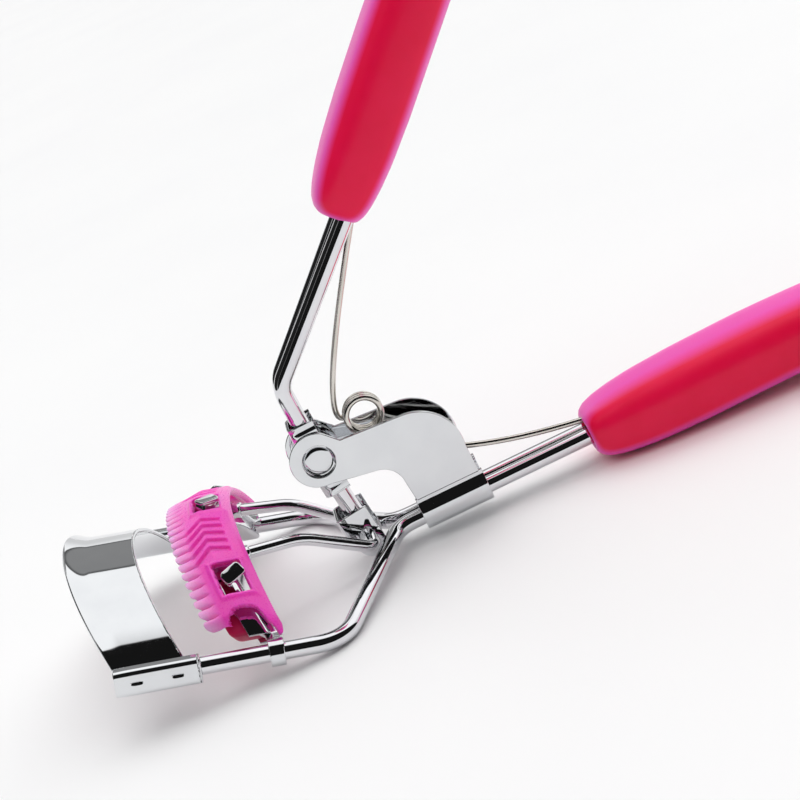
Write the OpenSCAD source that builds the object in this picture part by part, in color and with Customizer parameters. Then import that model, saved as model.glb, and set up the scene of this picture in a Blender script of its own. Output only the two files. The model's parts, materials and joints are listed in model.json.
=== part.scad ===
// Eyelash curler with a clip-on lash comb.
// Lengths are millimetres and angles are degrees.
// The mechanism is laid out about the lever pivot: X runs back along the straight
// front rods towards the grips, Y is sideways and Z is up. The finished tool is then
// tipped to the attitude it takes when it stands on its frame corners and lower grip.

/* [Rods] */
// Diameter of the frame rods and lever rods
rod_d = 2.3; // [2:0.05:3]
// Distance between the two straight front runs
front_gap = 44.5; // [36:0.5:50]
// Depth of the front runs below the lever pivot
front_drop = 16.7; // [12:0.1:22]
// Where the front runs turn inwards, behind the pivot
corner_x = -1.1; // [-6:0.1:4]
// Where the two rods meet, behind the pivot
split_x = 9.2; // [6:0.1:14]
// Depth of the meeting point below the pivot
split_drop = 11.7; // [8:0.1:15]
// Distance between rods that run side by side
pair_gap = 2.4; // [2.1:0.05:3.2]
// Rise of the lower handle from the front runs
handle_rise = 16.7; // [0:0.1:30]
// Bend radius at the wide corners
corner_bend = 5; // [3:0.5:8]
// Bend radius where the rods come together
split_bend = 3.5; // [3:0.5:8]

/* [Fixed plate] */
// Height of the crown of the plate above the front runs
crown_rise = 9; // [8:0.05:13]
// Thickness of the pressed sheet
sheet_t = 0.5; // [0.4:0.05:0.8]
// Front edge of the plate at the height of the rods
plate_front = -29.6; // [-34:0.1:-26]
// Rear edge of the plate at the height of the rods
plate_rear = -20.7; // [-24:0.1:-18]
// Rear end of the wrapped flanges
flange_rear = -19; // [-21:0.1:-17]
// Forward lean of plate and jaw for each millimetre of height
lean = 0.55; // [0:0.01:0.7]
// How far the front lip curls outwards
lip_curl = 0.7; // [0:0.1:2]

/* [Saddle] */
// Outside width across the two cheeks
saddle_w = 6.6; // [6:0.1:8]
// Radius of the round eye at the pivot
eye_r = 3.7; // [3.2:0.1:4.5]
// Radius of the rivet hole
rivet_hole_r = 2.2; // [1.5:0.05:2.6]
// Radius of the rivet
rivet_r = 2.12; // [1.4:0.01:2.5]

/* [Lever] */
// Lean of the upper handle back from upright
lever_lean = 28.8; // [20:0.1:45]
// Distance from the pivot up to the bend
lever_bend_up = 10.75; // [8:0.05:14]
// Lean of the short upper arm, forward from upright
upper_arm_lean = 18.4; // [10:0.1:30]
// Lean of the lower arm, back from straight down
lower_arm_lean = 23; // [10:0.1:35]
// Distance from the pivot down to the push wire when open
eye_reach = 13.58; // [11:0.01:16]
// Width of the sheet knuckle
knuckle_w = 3.6; // [3:0.1:4.5]

/* [Jaw] */
// Rear face of the jaw channel at the height of the rods
jaw_rear = -9; // [-12:0.1:-8]
// Front edge of the jaw channel at the height of the rods
jaw_front = -11.6; // [-14:0.1:-11]
// Front face of the pad at the height of the rods
pad_front = -13.9; // [-16:0.1:-13]
// Thickness of the pad
pad_t = 2.6; // [2:0.1:3.5]
// Diameter of the push wire
wire_d = 1.66; // [1.2:0.02:2]
// Distance between the wire ends at the jaw
wire_gap = 17; // [10:0.5:24]
// Width of the straps that run on the rods
strap_w = 2; // [1.5:0.1:3]

/* [Comb] */
// Number of comb teeth
tooth_count = 28; // [16:2:32]
// Tips of the teeth at the height of the rods
comb_tip = -16.5; // [-19:0.1:-15]
// Back edge of the comb at the height of the rods
comb_back = -7; // [-9:0.1:-6]
// Forward lean of the comb for each millimetre of height
comb_lean = 0.42; // [0:0.01:0.7]
// Angle from the crown to each end of the comb
comb_half = 42; // [40:0.5:52]

/* [Spring] */
// Diameter of the spring wire
spring_d = 0.8; // [0.5:0.05:1.2]
// Radius of the coil to the middle of the wire
coil_r = 2.35; // [1.8:0.05:3.5]
// Coil centre behind the pivot
coil_x = 6.85; // [4:0.05:9]
// Coil centre above the pivot
coil_z = 4.5; // [2:0.05:7]

/* [Grips] */
// Length of each grip
grip_length = 62; // [45:1:75]
// Height of a grip at its thickest
grip_h = 9.6; // [8:0.1:14]
// Width of a grip at its widest
grip_w = 13; // [10:0.1:16]

/* [Part] */
// Piece to draw

/* [Hidden] */
$fn = 48;

// Attitude of the standing tool
rest_tilt = 14.61;
stand_x = -30.329;
stand_z = 16.798;

// Colours
steel = [0.82, 0.83, 0.85];
wire_steel = [0.72, 0.7, 0.66];
hot_pink = [0.91, 0.1, 0.45];
comb_pink = [1, 0.45, 0.75];
pad_red = [0.8, 0.08, 0.32];

// Rods
rod_r = rod_d / 2;
rod_sides = 24;
half_gap = front_gap / 2;
front_z = -front_drop;
pair_y = pair_gap / 2;
fit_gap = 0.05;
split_point = [split_x, 0, -split_drop];
handle_dir = [cos(handle_rise), 0, sin(handle_rise)];
rod_in_grip = 18;
rod_front_end = plate_front + 0.9;

// Plate, jaw and comb share one arc about an axis along X
wrap_in = rod_r + 0.1;
wrap_mid = wrap_in + sheet_t / 2;
crown_mid = crown_rise - sheet_t / 2;
arc_r = (half_gap * half_gap + crown_mid * crown_mid - wrap_mid * wrap_mid)
    / (2 * (crown_mid + wrap_mid));
arc_z = front_z + crown_mid - arc_r;
foot_angle = atan2(half_gap, front_z - arc_z);
plate_steps = 44;
flange_steps = 16;
lip_steps = 5;
lip_length = 2.4;
lip_fade = 0.85;
flange_end_angle = 384;

// Saddle
cheek_t = 0.5;
cheek_in = saddle_w / 2 - cheek_t;
hump_r = 6.4;
hump = [12.9, -1.9];
hollow_r = 3.15;
hollow = [7.7, -5.7];
eye_centre = [-0.15, 0.2];
neck_notch = [3.1, 2.45];
neck_angle = -71;
fold_back = [20.7, -5.5];
fold_front = [12.15, -8.1];
sleeve_start = 3.6;
sleeve_length = 9.6;
fold_up = 2.7;
sleeve_half = 2.55 + sheet_t;

// Rivet
rivet_length = saddle_w - 0.5;
rivet_dome = 0.25;

// Lever
lever_y = rod_r + 0.02;
lever_bend = 4;
lever_spread = 1.42;
spread_angle = 2.4;
knuckle_t = 0.4;
knuckle_in = lever_y + rod_r + fit_gap;
knuckle_out = knuckle_in + knuckle_t;
knuckle_reach = 5.3;
knuckle_round = 1.1;
boss_r = 3.25;
upper_dir = [-sin(upper_arm_lean), 0, cos(upper_arm_lean)];
lower_dir = [sin(lower_arm_lean), 0, -cos(lower_arm_lean)];
lever_dir = [sin(lever_lean), 0, cos(lever_lean)];
rod_stop = rivet_r + 0.2;
link_end = 11.2;

// Slotted bracket at the end of the lower arm
bracket_w = 4.45;
bracket_shift = -0.4;
bracket_top = 8.7;
bracket_square_end = 12.1;
bracket_ear_r = 1.95;
slot_near = 12.5;
slot_half = wire_d / 2 + 0.2;
wire_point = eye_reach * lower_dir;

// Push wire
wire_side = 4.5;
wire_crest = [-4, 6.6, -8.65];
wire_foot_z = -8.8;
wire_back = 0.35;
lug_back = 0.3;
wire_bend = 1.55;
crest_bend = 9;
lug_w = 2.4;
lug_length = 1.6;

// Jaw
jaw_half = 44.5;
jaw_steps = 40;
channel_t = 0.45;
channel_in = pad_t / 2 + fit_gap;
channel_out = channel_in + channel_t;
strap_x = -10.6;
strap_in = rod_r + 0.1;
strap_crown = 0.04;
strap_steps = 18;
strap_out = strap_in + sheet_t;
strap_start = 112;
strap_end = -160;
tab_angles = [-30.5, 0, 30.5];
tab_w = 1.9;
tab_length = 2.9;
tab_twist = 33;
tab_overlap = 0.9;
tab_s = -10.3;

// Pad
pad_half = 43.5;
pad_back = jaw_rear - channel_t - fit_gap;
pad_round = 0.5;

// Comb
comb_in = channel_out + 0.1;
comb_ridge = comb_in + 2;
tab_top = comb_ridge + 0.12;
comb_steps = 56;
slot_w = 0.45;
tooth_length = 2.5;
window_s = -10.2;
window_w = 3.7;
window_l = 4.6;

// Spring
coil_turns = 3;
coil_pitch = spring_d + 0.06;
coil_steps = 26;
spring_sides = 10;
arm_steps = 14;

// Grips
grip_sides = 40;
grip_bore = rod_r + fit_gap;
lower_grip_at = [36.2, 0, -3.7];
lower_grip_rise = 18;
upper_grip_at = [7, 0, 31.1];
upper_grip_lean = 27;
lower_sag = 3.4;
upper_sag = 1.5;
squareness = 2.6;
// Position along the grip, share of full height, share of full width
grip_stations = [
    [0, 0.5, 0.5], [0.005, 0.6, 0.6], [0.018, 0.71, 0.7], [0.04, 0.8, 0.78],
    [0.08, 0.89, 0.86], [0.14, 0.96, 0.93], [0.24, 1, 0.98], [0.4, 1, 1], [0.57, 0.98, 0.98],
    [0.71, 0.92, 0.92], [0.83, 0.82, 0.83], [0.92, 0.69, 0.7], [0.965, 0.55, 0.55],
    [0.99, 0.36, 0.36], [1, 0.14, 0.14]
];

function unit(v) = v / norm(v);
function turn(u, v) = acos(max(-1, min(1, u * v)));
function flip(p) = [p[0], -p[1], p[2]];
// Point on the shared arc: s is the place along X at rod height, r the radius, a the angle
function arc_point(s, r, a, slope = lean) = [
    s - slope * (arc_z + r * cos(a) - front_z),
    r * sin(a),
    arc_z + r * cos(a)
];

// Tip the finished piece to its standing attitude
module stand() {
    translate([stand_x, 0, stand_z])
        rotate([0, rest_tilt, 0])
            children();
}

// Draw along X what is sketched in the Y-Z plane
module along_x(from_x, to_x) {
    translate([from_x, 0, 0])
        rotate([90, 0, 90])
            linear_extrude(to_x - from_x)
                children();
}

// Draw along Y what is sketched in the X-Z plane
module along_y(from_y, to_y) {
    translate([0, to_y, 0])
        rotate([90, 0, 0])
            linear_extrude(to_y - from_y)
                children();
}

// Point the local Z axis along a direction
module aim(dir) {
    rotate([0, acos(dir[2] / norm(dir)), atan2(dir[1], dir[0])])
        children();
}

module straight_rod(a, b, d) {
    translate(a)
        aim(b - a)
            cylinder(h = norm(b - a), d = d);
}

// Centreline points round one corner: p is the corner, u and v the directions in and out
function bend_points(p, u, v, r) =
    let (
        angle = turn(u, v),
        centre = p + unit(v - u) * r / cos(angle / 2),
        out = unit(p - r * tan(angle / 2) * u - centre),
        n = max(3, ceil(angle / 6))
    )
        [for (k = [0 : n]) centre + r * (cos(angle * k / n) * out + sin(angle * k / n) * u)];

// Directions at each centreline point: halfway between the runs on either side
function path_dir(path, i) =
    i == 0 ? unit(path[1] - path[0])
    : i == len(path) - 1 ? unit(path[i] - path[i - 1])
    : unit(unit(path[i] - path[i - 1]) + unit(path[i + 1] - path[i]));

// Carry a sideways direction along the path without twisting it
function carry(path, i, side) =
    let (t = path_dir(path, i))
        unit(side - (side * t) * t);
function side_list(path, i, side) =
    i == len(path) ? []
    : let (now = carry(path, i, side)) concat([now], side_list(path, i + 1, now));

// Round tube along a centreline
module tube(path, d, sides) {
    side = side_list(path, 0, abs(path_dir(path, 0)[2]) > 0.9 ? [1, 0, 0] : [0, 0, 1]);
    skin([
        for (i = [0 : len(path) - 1])
            let (t = path_dir(path, i), n = side[i], b = cross(t, n))
                [
                    for (j = [0 : sides - 1])
                        let (a = -360 * j / sides)
                            path[i] + d / 2 * (cos(a) * n + sin(a) * b)
                ]
    ]);
}

// Rod through a list of corners, rounded to the given radii
module bent_rod(pts, radii, d) {
    last = len(pts) - 1;
    dirs = [for (i = [0 : last - 1]) unit(pts[i + 1] - pts[i])];
    tube(concat(
        [pts[0]],
        [for (i = [1 : last - 1]) each bend_points(pts[i], dirs[i - 1], dirs[i], radii[i])],
        [pts[last]]
    ), d, rod_sides);
}

// Skin a list of equal rings of points, closed at both ends
module skin(rings) {
    n = len(rings[0]);
    m = len(rings);
    pts = [for (ring = rings) for (p = ring) p];
    sides = [
        for (i = [0 : m - 2])
            for (j = [0 : n - 1])
                [i * n + j, i * n + (j + 1) % n, (i + 1) * n + (j + 1) % n, (i + 1) * n + j]
    ];
    first = [for (j = [0 : n - 1]) n - 1 - j];
    end = [for (j = [0 : n - 1]) (m - 1) * n + j];
    polyhedron(points = pts, faces = concat([first], sides, [end]), convexity = 8);
}

// Sweep a profile of [s, r] points along the shared arc
module arc_sweep(profile, half_angle, steps, slope = lean) {
    skin([
        for (i = [0 : steps])
            let (a = half_angle - 2 * half_angle * i / steps)
                [for (q = profile) arc_point(q[0], q[1], a, slope)]
    ]);
}

// Sector of a ring between two angles, in the plane
module ring_sector(r_in, r_out, from_a, to_a) {
    steps = 12;
    reach = r_out * 1.5;
    intersection() {
        difference() {
            circle(r = r_out, $fn = 64);
            circle(r = r_in, $fn = 64);
        }
        polygon(concat([[0, 0]], [
            for (i = [0 : steps])
                let (a = from_a + (to_a - from_a) * i / steps)
                    reach * [cos(a), sin(a)]
        ]));
    }
}

// ---- Frame ----

module frame_rod() {
    handle_end = norm(lower_grip_at - split_point) + rod_in_grip;
    bent_rod([
        [rod_front_end, -half_gap, front_z],
        [corner_x, -half_gap, front_z],
        [split_x, -pair_y, -split_drop],
        split_point + [0, -pair_y, 0] + handle_end * handle_dir
    ], [0, corner_bend, split_bend, 0], rod_d);
}

module frame_rod_near() {
    color(steel)
        stand()
            frame_rod();
}

module frame_rod_far() {
    color(steel)
        stand()
            mirror([0, 1, 0])
                frame_rod();
}

// ---- Fixed plate ----

// Curl of the front lip at a share of its length, strongest at the crown
function lip_rise(share, a) = lip_curl * pow(share, 2)
    * (1 - lip_fade * pow(abs(a) / foot_angle, 4));

// Strip of sheet lying along X: middle line point, outward normal, ends, curl angle and lean
function sheet_ring(mid, normal, from_x, to_x, a, slope) =
    let (
        outer = [
            for (i = [0 : lip_steps])
                [from_x + lip_length * i / lip_steps, sheet_t / 2 + lip_rise(1 - i / lip_steps, a)]
        ],
        inner = [for (q = outer) [q[0], q[1] - sheet_t]],
        loop = concat(
            outer, [[to_x, sheet_t / 2], [to_x, -sheet_t / 2]],
            [for (i = [lip_steps : -1 : 0]) inner[i]]
        )
    )
        [
            for (q = loop)
                let (p = mid + q[1] * normal)
                    [q[0] - slope * (p[1] - front_z), p[0], p[1]]
        ];

function arch_ring(a) = sheet_ring(
    [arc_r * sin(a), arc_z + arc_r * cos(a)], [sin(a), cos(a)], plate_front, plate_rear, a, lean);

// Flange ring at an angle round the far rod, counted the way the sheet runs
function flange_ring(b, side) = sheet_ring(
    [side * (half_gap + wrap_mid * cos(b)), front_z + wrap_mid * sin(b)],
    [-side * cos(b), -sin(b)], plate_front, flange_rear, foot_angle, 0);

flange_start = 270 - foot_angle;
flange_angles = [
    for (i = [1 : flange_steps])
        flange_start + (flange_end_angle - flange_start) * i / flange_steps
];

module fixed_plate() {
    color(steel)
        stand()
            skin(concat(
                [for (i = [flange_steps - 1 : -1 : 0]) flange_ring(flange_angles[i], 1)],
                [
                    for (i = [0 : plate_steps])
                        arch_ring(foot_angle - 2 * foot_angle * i / plate_steps)
                ],
                [for (b = flange_angles) flange_ring(b, -1)]
            ));
}

// ---- Saddle ----

module cheek_outline() {
    neck_end = hollow + hollow_r * [cos(100), sin(100)];
    heel = hollow + hollow_r * [cos(-32), sin(-32)];
    eye_low = eye_centre + eye_r * [cos(neck_angle), sin(neck_angle)];
    difference() {
        union() {
            translate(eye_centre)
                circle(r = eye_r, $fn = 64);
            translate(hump)
                circle(r = hump_r, $fn = 96);
            polygon([
                eye_centre + 0.9 * eye_r * [cos(75), sin(75)],
                neck_notch,
                hump + hump_r * [cos(105.5), sin(105.5)],
                hump + hump_r * [cos(7), sin(7)],
                fold_back,
                fold_front,
                heel,
                hollow,
                neck_end,
                eye_low + 0.2 * (eye_low - neck_end)
            ]);
        }
        translate(hollow)
            circle(r = hollow_r, $fn = 64);
        polygon([
            hollow,
            hollow - [hollow_r / 2, 2 * hollow_r],
            [fold_front[0] - 1, hollow[1] - 2 * hollow_r],
            fold_front,
            heel
        ]);
        circle(r = rivet_hole_r, $fn = 64);
    }
}

// Sleeve pressed round the two rods, sketched across the handle
module sleeve_outline(grow) {
    side = saddle_w / 2 - sheet_t + grow;
    foot = sleeve_half - sheet_t + grow;
    low_r = rod_r + 0.15 + grow;
    polygon([
        [-side, fold_up + 0.05], [-foot, 0], [-pair_y, -low_r], [pair_y, -low_r],
        [foot, 0], [side, fold_up + 0.05]
    ]);
    translate([-pair_y, 0])
        circle(r = low_r, $fn = 64);
    translate([pair_y, 0])
        circle(r = low_r, $fn = 64);
}

module sleeve() {
    translate(split_point + sleeve_start * handle_dir)
        rotate([0, -handle_rise, 0])
            along_x(0, sleeve_length)
                difference() {
                    sleeve_outline(sheet_t);
                    sleeve_outline(0);
                }
}

module saddle() {
    color(steel)
        stand()
            union() {
                along_y(cheek_in, saddle_w / 2)
                    cheek_outline();
                along_y(-saddle_w / 2, -cheek_in)
                    cheek_outline();
                sleeve();
            }
}

// ---- Rivet ----

module pivot_rivet() {
    color(steel)
        stand()
            rotate([90, 0, 0])
                union() {
                    cylinder(r = rivet_r, h = rivet_length - 2 * rivet_dome, center = true);
                    for (side = [-1, 1])
                        translate([0, 0, side * (rivet_length / 2 - rivet_dome)])
                            cylinder(r = rivet_r - rivet_dome, h = 2 * rivet_dome, center = true);
                }
}

// ---- Lever ----

// Lever rod centreline, side by side in the knuckle and spreading towards the grip
lever_bend_point = lever_bend_up * upper_dir + [0, -lever_spread, 0];
lever_run = unit(lever_dir + [0, -sin(spread_angle), 0]);
lever_length = norm(upper_grip_at - lever_bend_up * upper_dir) + rod_in_grip;
lever_top = lever_bend_point + lever_length * lever_run;

module lever_rod() {
    bent_rod([
        rod_stop * upper_dir + [0, -lever_y, 0],
        (knuckle_reach + 0.8) * upper_dir + [0, -lever_y, 0],
        lever_bend_point,
        lever_top
    ], [0, 6, lever_bend, 0], rod_d);
}

module lever_rod_near() {
    color(steel)
        stand()
            lever_rod();
}

module lever_rod_far() {
    color(steel)
        stand()
            mirror([0, 1, 0])
                lever_rod();
}

module link_rod() {
    translate([0, -lever_y, 0])
        straight_rod(rod_stop * lower_dir, link_end * lower_dir, rod_d);
}

module link_rod_near() {
    color(steel)
        stand()
            link_rod();
}

module link_rod_far() {
    color(steel)
        stand()
            mirror([0, 1, 0])
                link_rod();
}

// Half of the knuckle channel, closed towards the plate, sketched across the arm
module channel_section(w, t, side, round_r) {
    half = w / 2;
    difference() {
        union() {
            translate([-half + round_r, -side])
                square([w - round_r, 2 * side]);
            translate([-half, -side + round_r])
                square([w, 2 * (side - round_r)]);
            for (k = [-1, 1])
                translate([-half + round_r, k * (side - round_r)])
                    circle(r = round_r, $fn = 48);
        }
        translate([-half + t, -side + t])
            square([w, 2 * (side - t)]);
    }
}

// Channel sunk along an arm, open side facing back
module arm_channel(dir_angle, from_r, to_r, w, t, side, round_r) {
    rotate([0, dir_angle, 0])
        translate([0, 0, from_r])
            linear_extrude(to_r - from_r)
                channel_section(w, t, side, round_r);
}

module lever_knuckle() {
    color(steel)
        stand()
            difference() {
                union() {
                    arm_channel(-upper_arm_lean, 0, knuckle_reach,
                        knuckle_w, knuckle_t, knuckle_out, knuckle_round);
                    mirror([0, 0, 1])
                        arm_channel(lower_arm_lean, 0, knuckle_reach,
                            knuckle_w, knuckle_t, knuckle_out, knuckle_round);
                    for (side = [-1, 1])
                        translate([0, side * (knuckle_in + knuckle_t / 2), 0])
                            rotate([90, 0, 0])
                                cylinder(r = boss_r, h = knuckle_t, center = true, $fn = 64);
                }
                rotate([90, 0, 0])
                    cylinder(r = rivet_r + 0.06, h = 2 * saddle_w, center = true, $fn = 64);
            }
}

module bracket_outline() {
    difference() {
        union() {
            translate([bracket_shift - bracket_w / 2, bracket_top])
                square([bracket_w, bracket_square_end - bracket_top]);
            translate([-bracket_ear_r, bracket_top])
                square([2 * bracket_ear_r, eye_reach - bracket_top]);
            translate([0, eye_reach])
                circle(r = bracket_ear_r, $fn = 64);
        }
        translate([-slot_half, slot_near])
            square([2 * slot_half, eye_reach - slot_near]);
        for (v = [slot_near, eye_reach])
            translate([0, v])
                circle(r = slot_half, $fn = 48);
    }
}

module end_bracket() {
    color(steel)
        stand()
            mirror([0, 0, 1])
                rotate([0, lower_arm_lean, 0])
                    union() {
                        for (y = [-knuckle_out, knuckle_in])
                            along_y(y, y + knuckle_t)
                                bracket_outline();
                        translate([bracket_shift - bracket_w / 2, -knuckle_out, bracket_top])
                            cube([knuckle_t, 2 * knuckle_out, bracket_square_end - bracket_top]);
                    }
}

// ---- Grips ----

function grip_ring(along, h, w, sag) = [
    for (j = [0 : grip_sides - 1])
        let (
            a = -360 * j / grip_sides,
            c = cos(a),
            s = sin(a),
            p = 2 / squareness
        )
            [
                sign(c) * pow(abs(c), p) * h / 2 + sag * pow(max(0, along - 0.35) / 0.65, 2),
                sign(s) * pow(abs(s), p) * w / 2,
                along * grip_length
            ]
];

// Grip drawn upwards from its mouth, bending towards +X by the sag
module grip_body(sag) {
    skin([
        for (q = grip_stations)
            grip_ring(q[0], q[1] * grip_h, q[2] * grip_w, sag)
    ]);
}

module lower_grip() {
    color(hot_pink)
        stand()
            difference() {
                translate(lower_grip_at)
                    rotate([0, 90 - lower_grip_rise, 0])
                        grip_body(lower_sag);
                for (k = [-1, 1])
                    straight_rod(
                        split_point + [0, k * pair_y, 0] + 20 * handle_dir,
                        split_point + [0, k * pair_y, 0]
                            + (norm(lower_grip_at - split_point) + rod_in_grip + 0.3) * handle_dir,
                        2 * grip_bore);
                spring_pocket(lower_tip, unit(lower_tip - lower_mid));
            }
}

module upper_grip() {
    color(hot_pink)
        stand()
            difference() {
                translate(upper_grip_at)
                    rotate([0, upper_grip_lean, 0])
                        grip_body(upper_sag);
                for (k = [0, 1])
                    mirror([0, k, 0])
                        straight_rod(
                            lever_top - (rod_in_grip + 8) * lever_run,
                            lever_top + 0.3 * lever_run,
                            2 * grip_bore);
                spring_pocket(upper_tip, unit(upper_tip - upper_mid));
            }
}

// ---- Push wire ----

module push_wire() {
    foot = arc_point(jaw_rear + wire_back, arc_r, asin(wire_gap / 2 / arc_r));
    start = [foot[0], -wire_gap / 2, wire_foot_z];
    crest = flip(wire_crest);
    side = wire_point + [0, -wire_side, 0];
    color(steel)
        stand()
            bent_rod([start, crest, side, flip(side), flip(crest), flip(start)],
                [0, crest_bend, wire_bend, wire_bend, crest_bend, 0], wire_d);
}

// Crimped lug that ties one wire end to the back of the jaw
module wire_lug() {
    foot = arc_point(jaw_rear + wire_back, arc_r, asin(wire_gap / 2 / arc_r));
    start = [foot[0], -wire_gap / 2, wire_foot_z];
    heading = unit(flip(wire_crest) - start);
    difference() {
        translate(start)
            aim(heading)
                translate([0, 0, lug_back])
                    cylinder(d = lug_w, h = lug_length);
        straight_rod(start - heading, start + 4 * heading, wire_d + 2 * fit_gap);
    }
}

module wire_lug_near() {
    color(steel)
        stand()
            wire_lug();
}

module wire_lug_far() {
    color(steel)
        stand()
            mirror([0, 1, 0])
                wire_lug();
}

// ---- Jaw ----

// The strip is an open channel over the pad
function channel_ring(a) = [
    for (q = [
        [jaw_front, channel_out], [jaw_rear, channel_out],
        [jaw_rear, -channel_out], [jaw_front, -channel_out],
        [jaw_front, -channel_in], [jaw_rear - channel_t, -channel_in],
        [jaw_rear - channel_t, channel_in], [jaw_front, channel_in]
    ])
        arc_point(q[0], arc_r + q[1], a)
];

// At each end the strip closes to a flat strap that hooks over the rod
function strap_ring(b, side) =
    let (
        across = concat([[0, strap_out], [1, strap_out]], [
            for (k = [0 : 5])
                let (share = 1 - k / 5)
                    [share, strap_in - 4 * strap_crown * share * (1 - share)]
        ])
    )
        [
            for (q = across)
                [
                    strap_x + strap_w * q[0],
                    side * (half_gap + q[1] * cos(b)),
                    front_z + q[1] * sin(b)
                ]
        ];

strap_angles = [
    for (i = [0 : strap_steps])
        strap_start + (strap_end - strap_start) * i / strap_steps
];

// Tab lanced from the strip, standing up through the comb and twisted to hold it
module jaw_tab(a) {
    foot = arc_point(tab_s, arc_r + channel_out - 0.1, a, comb_lean);
    head = arc_point(tab_s, arc_r + tab_top, a, comb_lean);
    lie = atan2(head[0] - foot[0], norm([0, head[1] - foot[1], head[2] - foot[2]]));
    translate(foot)
        rotate([-a, 0, 0])
            rotate([0, lie, 0])
                translate([-channel_t / 2, -tab_w / 2, 0])
                    cube([channel_t, tab_w, norm(head - foot) + channel_t / 2]);
    translate(head)
        rotate([-a, 0, 0])
            rotate([0, 0, tab_twist])
                translate([-tab_overlap, -tab_w / 2, 0])
                    cube([tab_length, tab_w, channel_t]);
}

module jaw() {
    color(steel)
        stand()
            union() {
                skin(concat(
                    [for (i = [strap_steps : -1 : 0]) strap_ring(strap_angles[i], 1)],
                    [for (i = [0 : jaw_steps]) channel_ring(jaw_half - 2 * jaw_half * i / jaw_steps)],
                    [for (b = strap_angles) strap_ring(b, -1)]
                ));
                for (a = tab_angles)
                    jaw_tab(a);
            }
}

module pad() {
    half = pad_t / 2;
    color(pad_red)
        stand()
            arc_sweep([
                [pad_front, arc_r + half - pad_round], [pad_front + pad_round, arc_r + half],
                [pad_back, arc_r + half], [pad_back, arc_r - half],
                [pad_front + pad_round, arc_r - half], [pad_front, arc_r - half + pad_round]
            ], pad_half, jaw_steps);
}

// ---- Comb ----

module comb_body() {
    arc_sweep([
        [comb_tip, arc_r + comb_in + 0.4], [comb_tip + 2.6, arc_r + comb_in + 1.25],
        [comb_tip + 5.3, arc_r + comb_ridge], [comb_back - 1.4, arc_r + comb_ridge],
        [comb_back, arc_r + comb_ridge - 0.5], [comb_back, arc_r + comb_in + 0.4],
        [comb_back - 1.4, arc_r + comb_in], [comb_tip, arc_r + comb_in - 0.1]
    ], comb_half, comb_steps, comb_lean);
}

// Straight cutter lying along the lean at one angle of the arc
module comb_cut(from_s, to_s, width, a) {
    reach = 6;
    mid = arc_point((from_s + to_s) / 2, arc_r + comb_in, a, comb_lean);
    translate(mid)
        rotate([-a, 0, 0])
            cube([to_s - from_s, width, reach], center = true);
}

module comb() {
    pitch = 2 * comb_half / tooth_count;
    color(comb_pink)
        stand()
            difference() {
                comb_body();
                for (i = [1 : tooth_count - 1])
                    comb_cut(comb_tip - 2, comb_tip + tooth_length, slot_w, -comb_half + i * pitch);
                for (a = tab_angles)
                    comb_cut(window_s - window_w / 2, window_s + window_w / 2, window_l, a);
            }
}

// ---- Spring ----

coil_half = coil_turns * coil_pitch / 2;
upper_tip = [10.4, 0, 34.6];
upper_mid = [3.9, 0, 11];
lower_tip = [40.2, 0, -1];
lower_mid = [19.6, 0, -2.15];
// Angles round the coil where the two arms leave it
upper_leave = 193;
lower_leave = -70;
coil_sweep = 360 * coil_turns + lower_leave - upper_leave + 360;

function coil_point(a, y) = [coil_x + coil_r * cos(a), y, coil_z + coil_r * sin(a)];
// Smooth curve through three points, t from 0 to 1
function arm_point(p, q, r, t) =
    let (ctrl = 2 * q - 0.5 * (p + r))
        pow(1 - t, 2) * p + 2 * t * (1 - t) * ctrl + t * t * r;

upper_arm = [
    for (i = [0 : arm_steps])
        arm_point(upper_tip, upper_mid + [0, coil_half / 2, 0], coil_point(upper_leave, coil_half),
            i / arm_steps)
];
coil_path = [
    for (i = [1 : coil_turns * coil_steps - 1])
        let (t = i / (coil_turns * coil_steps))
            coil_point(upper_leave + coil_sweep * t, coil_half * (1 - 2 * t))
];
lower_arm = [
    for (i = [arm_steps : -1 : 0])
        arm_point(lower_tip, lower_mid - [0, coil_half / 2, 0], coil_point(lower_leave, -coil_half),
            i / arm_steps)
];
spring_path = concat(upper_arm, coil_path, lower_arm);

module torsion_spring() {
    color(wire_steel)
        stand()
            tube(spring_path, spring_d, spring_sides);
}

// Pocket in a grip that takes the end of a spring arm
module spring_pocket(tip, dir) {
    straight_rod(tip - 9 * dir, tip + 0.8 * dir, spring_d + 1.2);
}

frame_rod_near();
frame_rod_far();
fixed_plate();
saddle();
pivot_rivet();
lower_grip();
lever_rod_near();
lever_rod_far();
link_rod_near();
link_rod_far();
lever_knuckle();
end_bracket();
upper_grip();
push_wire();
wire_lug_near();
wire_lug_far();
jaw();
pad();
comb();
torsion_spring();
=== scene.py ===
import json
import math

import bpy
import bmesh
import numpy as np
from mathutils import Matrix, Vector
from mathutils.geometry import tessellate_polygon


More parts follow.
